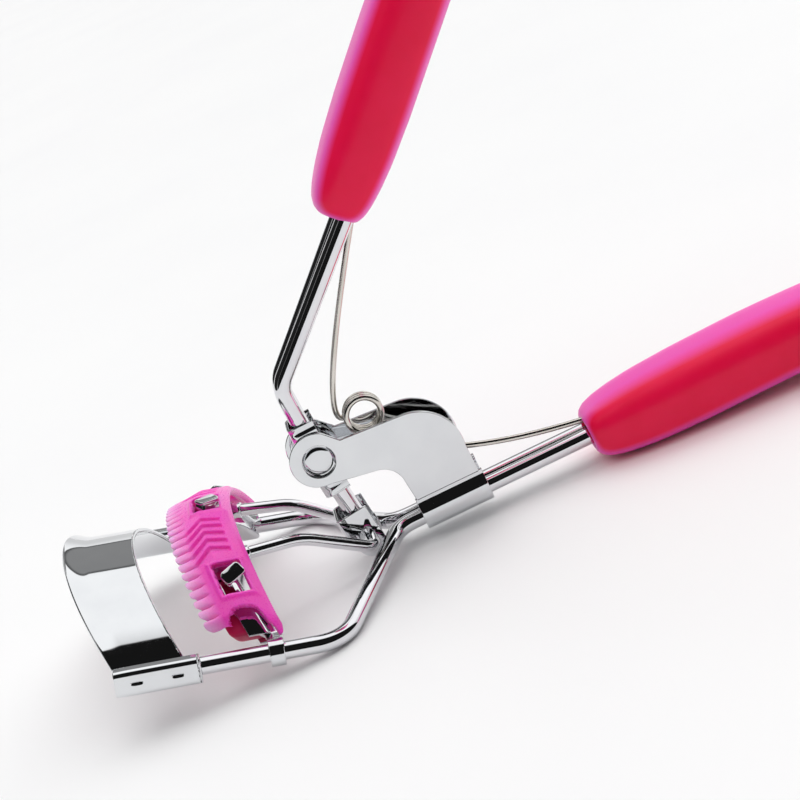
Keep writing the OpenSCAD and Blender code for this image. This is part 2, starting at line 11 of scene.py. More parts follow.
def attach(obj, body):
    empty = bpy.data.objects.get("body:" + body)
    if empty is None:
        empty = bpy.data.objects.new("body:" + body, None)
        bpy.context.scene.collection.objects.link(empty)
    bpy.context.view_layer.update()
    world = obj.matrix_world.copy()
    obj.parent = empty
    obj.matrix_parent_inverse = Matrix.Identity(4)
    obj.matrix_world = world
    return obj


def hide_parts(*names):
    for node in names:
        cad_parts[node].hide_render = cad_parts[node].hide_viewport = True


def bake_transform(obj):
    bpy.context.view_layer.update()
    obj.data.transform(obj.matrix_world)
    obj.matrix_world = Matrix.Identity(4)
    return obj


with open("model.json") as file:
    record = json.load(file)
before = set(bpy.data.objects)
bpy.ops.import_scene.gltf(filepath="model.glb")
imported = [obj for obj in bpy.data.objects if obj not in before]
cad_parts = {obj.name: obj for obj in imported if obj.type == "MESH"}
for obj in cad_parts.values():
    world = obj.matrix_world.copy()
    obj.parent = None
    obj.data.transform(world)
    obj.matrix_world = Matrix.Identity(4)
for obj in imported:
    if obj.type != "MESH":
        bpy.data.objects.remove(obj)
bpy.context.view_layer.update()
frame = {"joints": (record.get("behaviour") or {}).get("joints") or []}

# ---------------------------------------------------------------- the tool's own axes
# Pieces are drawn in millimetres about the lever pivot: X back along the front rods,
# Y to the far side, Z up from the rods. at() puts such a point in the row frame.
MM = 0.001
joints = {j["name"]: j for j in frame["joints"]}
PIVOT = Vector(joints["lever_hinge"]["pos_m"])
BACK = -Vector(joints["jaw_slide"]["axis"]).normalized()
SIDE = Vector((0, 1, 0))
UP = BACK.cross(SIDE)


def at(p):
    x, y, z = (MM * float(v) for v in p)
    return PIVOT + x * BACK + y * SIDE + z * UP


def rad(degrees):
    return math.radians(degrees)


def unit(v):
    v = np.asarray(v, float)
    return v / np.linalg.norm(v)


def polar(r, degrees):
    return np.array([r * math.cos(rad(degrees)), r * math.sin(rad(degrees))])


def smooth(t):
    t = np.clip(t, 0, 1)
    return t * t * (3 - 2 * t)


# ---------------------------------------------------------------- sizes, as in the CAD model
ROD_R = 1.15
HALF_GAP = 22.25
FRONT_Z = -16.7
SHEET = 0.5
PLATE_FRONT, PLATE_REAR, FLANGE_REAR = -29.6, -20.7, -19.0
LEAN = 0.55
CROWN = 8.75
WRAP = ROD_R + 0.1 + SHEET / 2
ARC_R = (HALF_GAP ** 2 + CROWN ** 2 - WRAP ** 2) / (2 * (CROWN + WRAP))
ARC_Z = FRONT_Z + CROWN - ARC_R
FOOT = math.degrees(math.atan2(HALF_GAP, FRONT_Z - ARC_Z))
SPLIT = np.array([9.2, 0, -11.7])
HANDLE = np.array([math.cos(rad(16.7)), 0, math.sin(rad(16.7))])
UPPER_ARM = np.array([-math.sin(rad(18.4)), 0, math.cos(rad(18.4))])
LOWER_ARM = np.array([math.sin(rad(23)), 0, -math.cos(rad(23))])
LEVER = np.array([math.sin(rad(28.8)), 0, math.cos(rad(28.8))])
EYE = 13.58 * LOWER_ARM
JAW_FRONT, JAW_REAR = -11.6, -9.0
COMB_TIP, COMB_BACK, COMB_LEAN, COMB_HALF = -16.5, -7.0, 0.42, 42
COMB_IN = 1.9
TEETH = 28
TAB_ANGLES = (-30.5, 0, 30.5)
TAB_S, WINDOW_S, RIDGE_S = -10.3, -10.2, -11.2
TAB_LENGTH, TAB_WIDTH, TAB_THICKNESS, TAB_RISE, TAB_TURN = 2.9, 1.9, 0.45, 2.12, 33
WINDOW_HALF_WIDTH, WINDOW_HALF_LENGTH = 1.75, 2.3
GROOVE_PITCH, GROOVE_MIDDLE = 1.6, 14.7
GRIP_LENGTH, GRIP_HEIGHT, GRIP_WIDTH = 62, 9.6, 13
COIL = np.array([6.85, 0, 4.5])


def arc_point(s, r, degrees, slope=LEAN):
    z = ARC_Z + r * math.cos(rad(degrees))
    return np.array([s - slope * (z - FRONT_Z), r * math.sin(rad(degrees)), z])


# ---------------------------------------------------------------- material nodes
class Shader:
    """A Principled material and short ways to add nodes to it."""

    def __init__(self, name):
        self.material = bpy.data.materials.new(name)
        self.material.use_nodes = True
        self.tree = self.material.node_tree
        self.body = self.tree.nodes["Principled BSDF"]
        self.where = self.node("ShaderNodeTexCoord").outputs["Object"]

    def node(self, kind, **settings):
        made = self.tree.nodes.new(kind)
        for key, value in settings.items():
            setattr(made, key, value)
        return made

    def link(self, out, into):
        self.tree.links.new(out, into)

    def set(self, **values):
        for key, value in values.items():
            self.body.inputs[key.replace("_", " ")].default_value = value

    def stretched(self, scale, turn=(0, 0, 0)):
        mapping = self.node("ShaderNodeMapping")
        mapping.inputs["Scale"].default_value = scale
        mapping.inputs["Rotation"].default_value = turn
        self.link(self.where, mapping.inputs["Vector"])
        return mapping.outputs["Vector"]

    def noise(self, scale, detail=3, roughness=0.5, vector=None):
        made = self.node("ShaderNodeTexNoise")
        made.inputs["Scale"].default_value = scale
        made.inputs["Detail"].default_value = detail
        made.inputs["Roughness"].default_value = roughness
        self.link(vector or self.where, made.inputs["Vector"])
        return made.outputs["Fac"]

    def ramp(self, source, low, high, from_value, to_value):
        made = self.node("ShaderNodeMapRange")
        made.inputs["From Min"].default_value = low
        made.inputs["From Max"].default_value = high
        made.inputs["To Min"].default_value = from_value
        made.inputs["To Max"].default_value = to_value
        self.link(source, made.inputs["Value"])
        return made.outputs["Result"]

    def mix(self, share, a, b):
        made = self.node("ShaderNodeMix", data_type="RGBA")
        self.link(share, made.inputs["Factor"])
        made.inputs["A"].default_value = (*a, 1)
        made.inputs["B"].default_value = (*b, 1)
        return made.outputs["Result"]

    def blend(self, share, a, b_out):
        made = self.node("ShaderNodeMix", data_type="RGBA")
        self.link(share, made.inputs["Factor"])
        made.inputs["A"].default_value = (*a, 1)
        self.link(b_out, made.inputs["B"])
        return made.outputs["Result"]

    def along(self, direction, low_mm, high_mm):
        """0 to 1 between two places along a direction, in millimetres from the pivot."""
        made = self.node("ShaderNodeVectorMath", operation="DOT_PRODUCT")
        made.inputs[1].default_value = direction
        self.link(self.where, made.inputs[0])
        zero = PIVOT.dot(direction)
        return self.ramp(made.outputs["Value"], zero + low_mm * MM, zero + high_mm * MM, 0, 1)

    def bump(self, height, strength, depth_mm, under=None):
        made = self.node("ShaderNodeBump")
        made.inputs["Strength"].default_value = strength
        made.inputs["Distance"].default_value = depth_mm * MM
        self.link(height, made.inputs["Height"])
        if under is not None:
            self.link(under, made.inputs["Normal"])
        return made.outputs["Normal"]


def metal(name, light, dark, rough, wave=0.25, scratch=0.1, turn=(0, 0, 0)):
    """Plated or drawn metal: faint clouding, uneven polish, slow ripples and fine drag marks."""
    s = Shader(name)
    cloud = s.noise(180, 4)
    s.link(s.mix(s.ramp(cloud, 0.3, 0.7, 0, 1), dark, light), s.body.inputs["Base Color"])
    fine = s.noise(900, 5, 0.6, s.stretched((1, 0.08, 1), turn))
    s.link(s.ramp(fine, 0.25, 0.8, rough * 0.6, rough * 1.7), s.body.inputs["Roughness"])
    ripple = s.bump(s.noise(260, 2), wave, 0.03)
    s.link(s.bump(fine, scratch, 0.004, ripple), s.body.inputs["Normal"])
    s.set(Metallic=1.0)
    return s.material


def plastic(name, light, deep, rough, scatter, grain, specular=0.5, coat=0.0, tips=None,
            painted_sheen=None):
    """Moulded plastic: cloudy colour, a fine spark-eroded grain and a slow sink ripple, with an
    optional painted sheen: a highlight colour blended in where faces are seen edge-on.
    """
    s = Shader(name)
    cloud = s.ramp(s.noise(120, 4, 0.55), 0.32, 0.68, 0, 1)
    colour = s.mix(cloud, deep, light)
    if tips is not None:
        tip = COMB_TIP + COMB_LEAN * FRONT_Z
        colour = s.blend(s.along(unit_back_up(COMB_LEAN), tip - 0.3, tip + 3.2), tips, colour)
    # Painted sheen: faces seen edge-on take a magenta colour that stands in for the highlight on the
    # grips' lit top facets.
    if painted_sheen is not None:
        sheen_facing = s.node("ShaderNodeLayerWeight").outputs["Facing"]
        colour = s.blend(s.ramp(sheen_facing, 0.28, 0.6, 1, 0), painted_sheen, colour)
    s.link(colour, s.body.inputs["Base Color"])
    pores = s.noise(5200, 3, 0.6)
    s.link(s.ramp(pores, 0.3, 0.75, rough * 0.8, rough * 1.25), s.body.inputs["Roughness"])
    sink = s.bump(s.noise(320, 2), 0.2, 0.05)
    s.link(s.bump(pores, grain, 0.02, sink), s.body.inputs["Normal"])
    s.set(Subsurface_Weight=scatter, Specular_IOR_Level=specular, Coat_Weight=coat)
    s.body.inputs["Subsurface Radius"].default_value = (2.2 * MM, 0.5 * MM, 1.0 * MM)
    s.body.inputs["Subsurface Scale"].default_value = 1.0
    return s.material


def unit_back_up(slope):
    """Direction square to the leaning planes of equal s, for a piece that leans by slope."""
    return BACK + slope * UP


CHROME = metal("chrome_rod", (0.78, 0.78, 0.8), (0.73, 0.73, 0.76), 0.03, 0.15, 0.08)
SHEET_METAL = metal("chrome_sheet", (0.74, 0.755, 0.77), (0.69, 0.705, 0.725), 0.035, 0.2, 0.08)
WIRE = metal("spring_wire", (0.74, 0.71, 0.66), (0.6, 0.57, 0.52), 0.16, 0.2, 0.4)
# The grips' magenta at grazing angles is a painted highlight, not the plastic's own colour.
GRIP = plastic("grip_plastic", (0.92, 0.006, 0.075), (0.87, 0.004, 0.06), 0.36, 0.25, 0.35,
               specular=0.22, coat=0.06, painted_sheen=(0.93, 0.1, 0.5))
PAD = plastic("pad_rubber", (0.62, 0.008, 0.1), (0.5, 0.005, 0.075), 0.38, 0.3, 0.25)
COMB = plastic("comb_plastic", (1.0, 0.08, 0.56), (0.97, 0.06, 0.5), 0.3, 0.5, 0.1, coat=0.1,
               tips=(1.0, 0.56, 0.85))


# ---------------------------------------------------------------- mesh code
def finish_mesh(name, points, faces, material, body, stands_for=()):
    """A smooth-shaded object from points in the tool's own frame."""
    mesh = bpy.data.meshes.new(name)
    mesh.from_pydata([at(p) for p in points], [], [tuple(f) for f in faces])
    work = bmesh.new()
    work.from_mesh(mesh)
    bmesh.ops.remove_doubles(work, verts=work.verts, dist=2e-7)
    bmesh.ops.recalc_face_normals(work, faces=work.faces)
    work.to_mesh(mesh)
    work.free()
    mesh.polygons.foreach_set("use_smooth", [True] * len(mesh.polygons))
    mesh.materials.append(material)
    made = bpy.data.objects.new(name, mesh)
    bpy.context.scene.collection.objects.link(made)
    if body:
        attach(made, body)
    if stands_for:
        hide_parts(*stands_for)
    return made


def ring_faces(count, sides, start=0, capped=True):
    faces = []
    for i in range(count - 1):
        for j in range(sides):
            a, b = start + i * sides + j, start + i * sides + (j + 1) % sides
            faces.append((a, b, b + sides, a + sides))
    if capped:
        faces.append(tuple(start + j for j in range(sides)))
        faces.append(tuple(start + (count - 1) * sides + j for j in reversed(range(sides))))
    return faces


def corner_points(p, u, v, radius, step=6):
    """Points round one rounded corner between directions u and v."""
    angle = math.acos(np.clip(u @ v, -1, 1))
    centre = p + unit(v - u) * radius / math.cos(angle / 2)
    out = unit(p - radius * math.tan(angle / 2) * u - centre)
    n = max(4, int(math.degrees(angle) / step) + 1)
    turns = [angle * k / n for k in range(n + 1)]
    return [centre + radius * (math.cos(t) * out + math.sin(t) * u) for t in turns]


def rounded_path(points, radii):
    points = [np.asarray(p, float) for p in points]
    path = [points[0]]
    for i in range(1, len(points) - 1):
        u, v = unit(points[i] - points[i - 1]), unit(points[i + 1] - points[i])
        path += corner_points(points[i], u, v, radii[i])
    return path + [points[-1]]


def tube_rings(path, radius, sides, chamfer=0.0):
    """Rings round a centreline, carried along it without twist, with rounded ends."""
    path = [np.asarray(p, float) for p in path]
    radii = [radius] * len(path)
    if chamfer:
        for end, inner in ((0, 1), (-1, -2)):
            away = unit(path[end] - path[inner])
            tip = path[end]
            steps = [0.0, 0.3, 0.7, 1.0]
            cap = [tip - away * chamfer * (1 - math.sin(rad(90 * t))) for t in steps]
            size = [radius - chamfer * (1 - math.cos(rad(90 * t))) for t in steps]
            if end == 0:
                path, radii = cap[::-1] + path[1:], size[::-1] + radii[1:]
            else:
                path, radii = path[:-1] + cap, radii[:-1] + size
    rings, side = [], None
    for i, p in enumerate(path):
        before = unit(p - path[i - 1]) if i else None
        after = unit(path[i + 1] - p) if i < len(path) - 1 else None
        along = before if after is None else after if before is None else unit(before + after)
        if side is None:
            side = np.array([1.0, 0, 0]) if abs(along[2]) > 0.9 else np.array([0, 0, 1.0])
        side = unit(side - (side @ along) * along)
        other = np.cross(along, side)
        for j in range(sides):
            t = 2 * math.pi * j / sides
            rings.append(p + radii[i] * (math.cos(t) * side + math.sin(t) * other))
    return rings, len(path)


def rod(name, path, radius, material, body, stands_for=(), sides=32, chamfer=0.25):
    points, count = tube_rings(path, radius, sides, chamfer)
    return finish_mesh(name, points, ring_faces(count, sides), material, body, stands_for)


def grid_faces(rows, columns, start=0):
    faces = []
    for i in range(rows - 1):
        for j in range(columns - 1):
            a = start + i * columns + j
            faces.append((a, a + 1, a + columns + 1, a + columns))
    return faces


def sheet_rings(rows, thickness, edge):
    """Closed rings round a strip of sheet, one per row of its middle surface."""
    grid = np.array(rows, float)
    along = np.gradient(grid, axis=0)
    across = np.gradient(grid, axis=1)
    normal = np.cross(along, across)
    normal /= np.linalg.norm(normal, axis=2, keepdims=True)
    half = thickness / 2
    rings = []

    def ring(i, shift, h, e):
        line, up = grid[i] + shift, normal[i]
        left, right = unit(line[0] - line[1]), unit(line[-1] - line[-2])
        top = [line[0] - 1.8 * edge * left + h * up[0], *(line[1:-1] + h * up[1:-1]),
               line[-1] - 1.8 * edge * right + h * up[-1]]
        low = [line[0] - 1.8 * edge * left - h * up[0], *(line[1:-1] - h * up[1:-1]),
               line[-1] - 1.8 * edge * right - h * up[-1]]

        def lip(p, out, n, turns):
            made = []
            for t in turns:
                side = 1 if t <= 90 else -1
                c, q = math.cos(rad(t)), math.sin(rad(t))
                made.append(p - e * out + side * (h - e) * n + e * (q * out + c * n))
            return made

        turns = [0, 22, 45, 68, 90, 90.001, 112, 135, 158, 180]
        return (top + lip(line[-1], right, up[-1], turns) + low[::-1]
                + lip(line[0], left, up[0], turns)[::-1])

    first, last = unit(grid[0][0] - grid[1][0]), unit(grid[-1][0] - grid[-2][0])
    turns = [90, 60, 30, 0]
    for t in turns:
        c, q = math.cos(rad(t)), math.sin(rad(t))
        rings.append(ring(0, -edge * (1 - q) * first, half - edge * (1 - c), edge * c * 0.98))
    rings += [ring(i, 0, half, edge) for i in range(1, len(grid) - 1)]
    for t in turns[::-1]:
        c, q = math.cos(rad(t)), math.sin(rad(t))
        rings.append(ring(-1, -edge * (1 - q) * last, half - edge * (1 - c), edge * c * 0.98))
    return [p for r in rings for p in r], len(rings), len(rings[0])


def thick_sheet(name, rows, thickness, material, body, stands_for=(), edge=0.1):
    """A strip of sheet metal from rows over its middle surface, with softly broken edges."""
    points, count, sides = sheet_rings(rows, thickness, edge)
    made = finish_mesh(name, points, ring_faces(count, sides), material, body, stands_for)
    return even_shading(made)


def even_shading(made):
    """Flat areas keep a flat, mirror-like shading next to their rounded edges."""
    weighted = made.modifiers.new("even_shading", "WEIGHTED_NORMAL")
    weighted.weight = 90
    return made


def inset(loop, e):
    """A closed 2-D loop moved to its left by e."""
    before, after = np.roll(loop, 1, axis=0), np.roll(loop, -1, axis=0)
    u = loop - before
    v = after - loop
    u = u / np.linalg.norm(u, axis=1, keepdims=True)
    v = v / np.linalg.norm(v, axis=1, keepdims=True)
    left_u = np.stack([-u[:, 1], u[:, 0]], axis=1)
    left_v = np.stack([-v[:, 1], v[:, 0]], axis=1)
    share = np.maximum(1 + np.sum(left_u * left_v, axis=1, keepdims=True), 0.5)
    return loop + e * (left_u + left_v) / share


def pressed_plate(name, outline, holes, place, thickness, edge, material, body,
                  stands_for=()):
    """A flat blank with rounded edges; place(x, y, w) puts outline and thickness in 3-D."""
    half = thickness / 2
    rise = [(-half + edge * (1 - math.cos(rad(t))), edge * (1 - math.sin(rad(t))))
            for t in (0, 25, 50, 70, 90)]
    levels = rise + [(-w, e) for w, e in rise[::-1]]
    points, faces, flat, low, high = [], [], [], [], []
    for k, loop in enumerate((outline, *holes)):
        loop = np.array([np.asarray(q, float) for q in loop])
        loop = loop[np.linalg.norm(loop - np.roll(loop, 1, axis=0), axis=1) > 0.01]
        x, y = loop[:, 0], loop[:, 1]
        area = np.sum(x * np.roll(y, -1) - y * np.roll(x, -1))
        if (area > 0) == (k > 0):
            loop = loop[::-1]
        start, n = len(points), len(loop)
        for w, e in levels:
            points += [place(px, py, w) for px, py in inset(loop, e)]
        faces += ring_faces(len(levels), n, start, capped=False)
        flat.append([Vector((px, py, 0)) for px, py in inset(loop, edge)])
        low += range(start, start + n)
        high += range(start + (len(levels) - 1) * n, start + len(levels) * n)
    for triangle in tessellate_polygon(flat):
        faces.append(tuple(low[i] for i in triangle))
        faces.append(tuple(high[i] for i in reversed(triangle)))
    return even_shading(finish_mesh(name, points, faces, material, body, stands_for))


def arc(centre, r, start, end, step=4):
    n = max(2, int(abs(end - start) / step))
    return [np.asarray(centre) + polar(r, start + (end - start) * k / n) for k in range(n + 1)]


# ---------------------------------------------------------------- frame rods
def frame_rod(side):
    end = 37.0
    return rounded_path([
        (PLATE_FRONT + 0.9, side * HALF_GAP, FRONT_Z),
        (-1.1, side * HALF_GAP, FRONT_Z),
        (9.2, side * 1.2, -11.7),
        SPLIT + [0, side * 1.2, 0] + end * HANDLE,
    ], [0, 5, 3.5, 0])


for side, which in ((-1, "near"), (1, "far")):
    rod(f"rod_{which}", frame_rod(side), ROD_R, CHROME, "base",
        [f"frame_rod_{which}"])


# ---------------------------------------------------------------- fixed plate
def plate_grid():
    """Middle surface: flange round the far rod, arch, flange round the near rod."""
    def stake(x, turn):
        """Two small lanced stakes that pinch the flange on to the rod."""
        along = max(0, 1 - min(abs(x + 26.9), abs(x + 21.9)) / 0.95)
        return 0.2 * smooth(2 * along) * smooth((turn + 14) / 20) * smooth((14 - turn) / 6)

    def strip(mid, normal, rear, share, slope, turn=999):
        row = []
        for x in np.concatenate([np.linspace(PLATE_FRONT, PLATE_FRONT + 2.4, 9),
                                 np.linspace(PLATE_FRONT + 2.4, rear, 41)[1:]]):
            t = max(0, 1 - (x - PLATE_FRONT) / 2.4)
            lift = 0.7 * t * t * (1 - 0.85 * share ** 4) + stake(x, turn)
            y, z = mid[0] + lift * normal[0], mid[1] + lift * normal[1]
            row.append((x - slope * (z - FRONT_Z), y, z))
        return row

    def flange(b, side):
        c, s = math.cos(rad(b)), math.sin(rad(b))
        square = 7 if c > 0 else 2
        r = WRAP / (abs(c) ** square + abs(s) ** square) ** (1 / square)
        mid = (side * (HALF_GAP + r * c), FRONT_Z + r * s)
        return strip(mid, (-side * c, -s), FLANGE_REAR, 1, 0, b - 360)

    angles = np.linspace(270 - FOOT, 448, 58)[1:]
    rows = [flange(b, 1) for b in angles[::-1]]
    for a in np.linspace(FOOT, -FOOT, 73):
        c, s = math.cos(rad(a)), math.sin(rad(a))
        rows.append(strip((ARC_R * s, ARC_Z + ARC_R * c), (s, c), PLATE_REAR, abs(a) / FOOT, LEAN))
    return rows + [flange(b, -1) for b in angles]


thick_sheet("plate_arch", plate_grid(), SHEET, SHEET_METAL, "base",
            ["fixed_plate"], edge=0.14)

# ---------------------------------------------------------------- saddle, knuckle, bracket
def cheek_outline():
    eye, hump, hollow = (-0.15, 0.2), (12.9, -1.9), (7.7, -5.7)
    return (arc(eye, 3.7, 75, 289) + arc(hollow, 3.15, 100, 18) + [(12.15, -8.1), (20.7, -5.5)]
            + arc(hump, 6.4, 7, 105.5) + [(3.1, 2.45)])


for side, which in ((-1, "near"), (1, "far")):
    pressed_plate(f"saddle_cheek_{which}", cheek_outline(), [arc((0, 0), 2.2, 0, 356)],
                  lambda x, z, w, m=side * 3.05: (x, m + w, z), 0.5, 0.1, SHEET_METAL, "base",
                  ["saddle"])


def sleeve_rows():
    """The saddle's sheet carried on under the rods, pressed round both of them."""
    half = [(3.05, 3.3), (3.05, 2.7), (3.12, 2.45), (3.25, 2.05), (3.4, 1.6), (3.5, 1.2),
            (3.56, 0.85), (3.57, 0.55), (3.52, 0.2), (3.4, -0.2), (3.17, -0.6), (2.85, -0.98),
            (2.45, -1.28), (1.95, -1.49), (1.4, -1.58), (0.7, -1.6)]
    line = half + [(-y, z) for y, z in half[::-1]]
    above = np.cross(HANDLE, (0, 1, 0))
    above = above if above[2] > 0 else -above
    rows = []
    for t in np.linspace(3.6, 13.2, 14):
        rows.append([SPLIT + t * HANDLE + [0, y, 0] + z * above for y, z in line])
    return rows


thick_sheet("saddle_sleeve", sleeve_rows(), SHEET, SHEET_METAL, "base", edge=0.1)


def channel_rows(across, along, start, end, width, side, bend):
    """U-shaped sheet round a pair of rods, its closed side towards the plate."""
    line = [(width / 2, -side), (-width / 2 + bend, -side)]
    line += [tuple(q) for q in arc((-width / 2 + bend, -side + bend), bend, 260, 190, 14)]
    line += [(-width / 2, 0)]
    line = line + [(x, -y) for x, y in line[:-1][::-1]]
    rows = []
    for t in np.linspace(start, end, 24):
        pinch = 1 - 0.06 * smooth((t - 3.9) / 0.7) + 0.03 * smooth((t - 4.9) / 0.4)
        rows.append([t * along + x * across + np.array([0, y * pinch, 0]) for x, y in line])
    return rows


UPPER_ACROSS = np.array([math.cos(rad(18.4)), 0, math.sin(rad(18.4))])
LOWER_ACROSS = np.array([math.cos(rad(23)), 0, math.sin(rad(23))])
thick_sheet("knuckle_upper", channel_rows(UPPER_ACROSS, UPPER_ARM, 0.6, 5.3, 3.4, 2.57, 1.0),
            0.4, SHEET_METAL, "lever", ["lever_knuckle"], edge=0.08)
thick_sheet("knuckle_lower", channel_rows(LOWER_ACROSS, LOWER_ARM, 0.6, 5.3, 3.4, 2.57, 1.0),
            0.4, SHEET_METAL, "lever", edge=0.08)
for side, which in ((-1, "near"), (1, "far")):
    pressed_plate(f"knuckle_eye_{which}", arc((0, 0), 3.25, 0, 356), [arc((0, 0), 2.18, 0, 356)],
                  lambda x, z, w, m=side * 2.57: (x, m + w, z), 0.4, 0.08, SHEET_METAL, "lever")


def bracket_outline():
    """Side of the slotted bracket, x across the arm and v down along it."""
    left, right = -2.625, 1.825
    return ([(left + 0.3, 8.7), (right, 8.7), (right, 12.1), (1.95, 12.1)]
            + arc((0, 13.58), 1.95, 0, 180)
            + [(-1.95, 12.1), (left + 0.3, 12.1)])


slot_loop = arc((0, 13.58), 1.03, 0, 180, 12) + arc((0, 12.5), 1.03, 180, 360, 12)
for side, which in ((-1, "near"), (1, "far")):
    pressed_plate(f"bracket_side_{which}", bracket_outline(), [slot_loop],
                  lambda x, v, w, m=side * 2.57: v * LOWER_ARM + x * LOWER_ACROSS + [0, m + w, 0],
                  0.4, 0.08, SHEET_METAL, "lever", ["end_bracket"])
bracket_line = [(-1.3, -2.57), (-2.0, -2.57)]
bracket_line += [tuple(q) for q in arc((-2.0, -2.15), 0.42, 265, 185, 16)]
bracket_line += [(-2.42, 0)]
bracket_line = bracket_line + [(x, -y) for x, y in bracket_line[:-1][::-1]]
thick_sheet("bracket_web", [[t * LOWER_ARM + x * LOWER_ACROSS + np.array([0, y, 0])
                             for x, y in bracket_line] for t in np.linspace(8.7, 12.1, 6)],
            0.4, SHEET_METAL, "lever", edge=0.08)


def lathe(name, profile, centre, material, body, stands_for=(), sides=64):
    """Turned piece about a line along Y through centre; profile is (y, radius) from end to end."""
    points = []
    for y, r in profile:
        for j in range(sides):
            c, s = math.cos(2 * math.pi * j / sides), math.sin(2 * math.pi * j / sides)
            points.append((centre[0] + r * c, centre[1] + y, centre[2] + r * s))
    return finish_mesh(name, points, ring_faces(len(profile), sides), material, body,
                       stands_for)


def rivet_profile():
    """Flush rivet head: flat middle, rolled over towards the hole, the same at both ends."""
    end = [(3.0, 0.02), (3.0, 1.0), (2.99, 1.25), (2.96, 1.48), (2.9, 1.7), (2.82, 1.87),
           (2.7, 2.02), (2.55, 2.12)]
    return [(-y, q) for y, q in end] + end[::-1]


lathe("rivet_head", rivet_profile(), (0, 0, 0), SHEET_METAL, "base",
      ["pivot_rivet"])


# ---------------------------------------------------------------- lever rods
def lever_path(side):
    bend = 10.75 * UPPER_ARM + [0, side * 1.42, 0]
    run = unit(LEVER + [0, side * math.sin(rad(2.4)), 0])
    grip_at = np.array([7, 0, 31.1])
    length = np.linalg.norm(grip_at - 10.75 * UPPER_ARM) + 18
    y = side * (ROD_R + 0.02)
    return rounded_path([2.32 * UPPER_ARM + [0, y, 0], 6.1 * UPPER_ARM + [0, y, 0], bend,
                         bend + length * run], [0, 6, 4, 0])


for side, which in ((-1, "near"), (1, "far")):
    rod(f"lever_{which}", lever_path(side), ROD_R, CHROME, "lever",
        [f"lever_rod_{which}"])
    y = side * (ROD_R + 0.02)
    rod(f"link_{which}", [2.32 * LOWER_ARM + [0, y, 0], 11.2 * LOWER_ARM + [0, y, 0]], ROD_R,
        CHROME, "lever", [f"link_rod_{which}"])

# ---------------------------------------------------------------- push wire and lugs
FOOT_WIRE = arc_point(JAW_REAR + 0.35, ARC_R, math.degrees(math.asin(8.5 / ARC_R)))
WIRE_START = np.array([FOOT_WIRE[0], -8.5, -8.8])
FLIP = np.array([1, -1, 1])
crest = np.array([-4, -6.6, -8.65])
corner = EYE + [0, -4.5, 0]
rod("push_wire_bent",
    rounded_path([WIRE_START, crest, corner, corner * FLIP, crest * FLIP, WIRE_START * FLIP],
                 [0, 9, 1.55, 1.55, 9, 0]),
    0.83, CHROME, "slider", ["push_wire"])


def lug(side):
    """Crimped collar, pinched flat where it grips the wire."""
    start = WIRE_START * (1, -side, 1)
    along = unit(crest * (1, -side, 1) - start)
    across = unit(np.cross(along, (0, 0, 1)))
    over = np.cross(across, along)
    stations = [(0.15, 1.0, 1.0), (0.25, 1.14, 1.14), (0.7, 1.18, 1.08), (1.1, 1.19, 0.96),
                (1.5, 1.16, 1.04), (1.68, 1.1, 1.02), (1.75, 0.98, 0.96), (1.75, 0.88, 0.88)]
    points = []
    for t, w, h in stations:
        for j in range(40):
            c, s = math.cos(2 * math.pi * j / 40), math.sin(2 * math.pi * j / 40)
            points.append(start + (t + 0.15) * along + w * c * across + h * s * over)
    return points, ring_faces(len(stations), 40)


for side, which in ((-1, "near"), (1, "far")):
    points, faces = lug(side)
    finish_mesh(f"lug_{which}", points, faces, SHEET_METAL, "slider",
                [f"wire_lug_{which}"])


# ---------------------------------------------------------------- jaw: channel, straps, tabs
def channel_grid():
    half, bend = 1.575, 0.35
    line = [(s, half) for s in np.linspace(JAW_FRONT, JAW_REAR - bend - 0.2, 9)]
    for t in np.linspace(0, 90, 6):
        y, x = polar(bend, t)
        line.append((JAW_REAR - 0.225 - bend + x, half - bend + y))
    line += [(q, -r) for q, r in line[::-1]]
    rows = []
    for a in np.linspace(44.5, -44.5, 179):
        rows.append([arc_point(s, ARC_R + r, a) for s, r in line])
    return rows


def lanced(corners):
    """Whether a face lies where a tab was cut out of the channel's outer side."""
    x, y, z = np.mean(corners, axis=0)
    a = math.degrees(math.atan2(y, z - ARC_Z))
    s = x + LEAN * (z - FRONT_Z)
    outside = math.hypot(y, z - ARC_Z) > ARC_R + 1
    return outside and -11.35 < s < -9.95 and any(abs(a - c) < 3 for c in TAB_ANGLES)


points, count, sides = sheet_rings(channel_grid(), 0.42, 0.08)
faces = [f for f in ring_faces(count, sides) if not lanced([points[k] for k in f])]
even_shading(finish_mesh("jaw_channel", points, faces, SHEET_METAL, "slider",
                         ["jaw"]))


def strap_grid(side):
    """The end of the channel narrows, hooks over the rod and is folded back below it."""
    line = []
    for a, r, w in ((35.5, 1.85, 3.9), (37.5, 1.6, 3.5), (39.5, 1.3, 3.1), (41.5, 0.95, 2.75),
                    (43.3, 0.6, 2.45)):
        line.append((arc_point(-9.55 - 0.12 * (43.3 - a), ARC_R + r, a), w))
    line.append((np.array([-9.6, 20.35, -15.3]), 2.25))
    reach = ROD_R + 0.38
    for b in np.linspace(112, -64, 24):
        c, s = polar(reach, b)
        line.append((np.array([-9.6, HALF_GAP + c, FRONT_Z + s]), 2.0 - 0.15 * (b < 40)))
    rows = []
    for mid, w in line:
        rows.append([(mid[0] + w * t, side * mid[1], mid[2]) for t in np.linspace(-0.5, 0.5, 5)])
    return rows


for side, which in ((-1, "near"), (1, "far")):
    thick_sheet(f"jaw_strap_{which}", strap_grid(side), 0.5, SHEET_METAL, "slider",
                edge=0.12)


def rounded_rectangle(length, width, radius, steps=5):
    points = []
    for cx, cy, start in ((1, 1, 0), (-1, 1, 90), (-1, -1, 180), (1, -1, 270)):
        for k in range(steps + 1):
            c, s = polar(radius, start + 90 * k / steps)
            points.append((cx * (length / 2 - radius) + c, cy * (width / 2 - radius) + s))
    return points


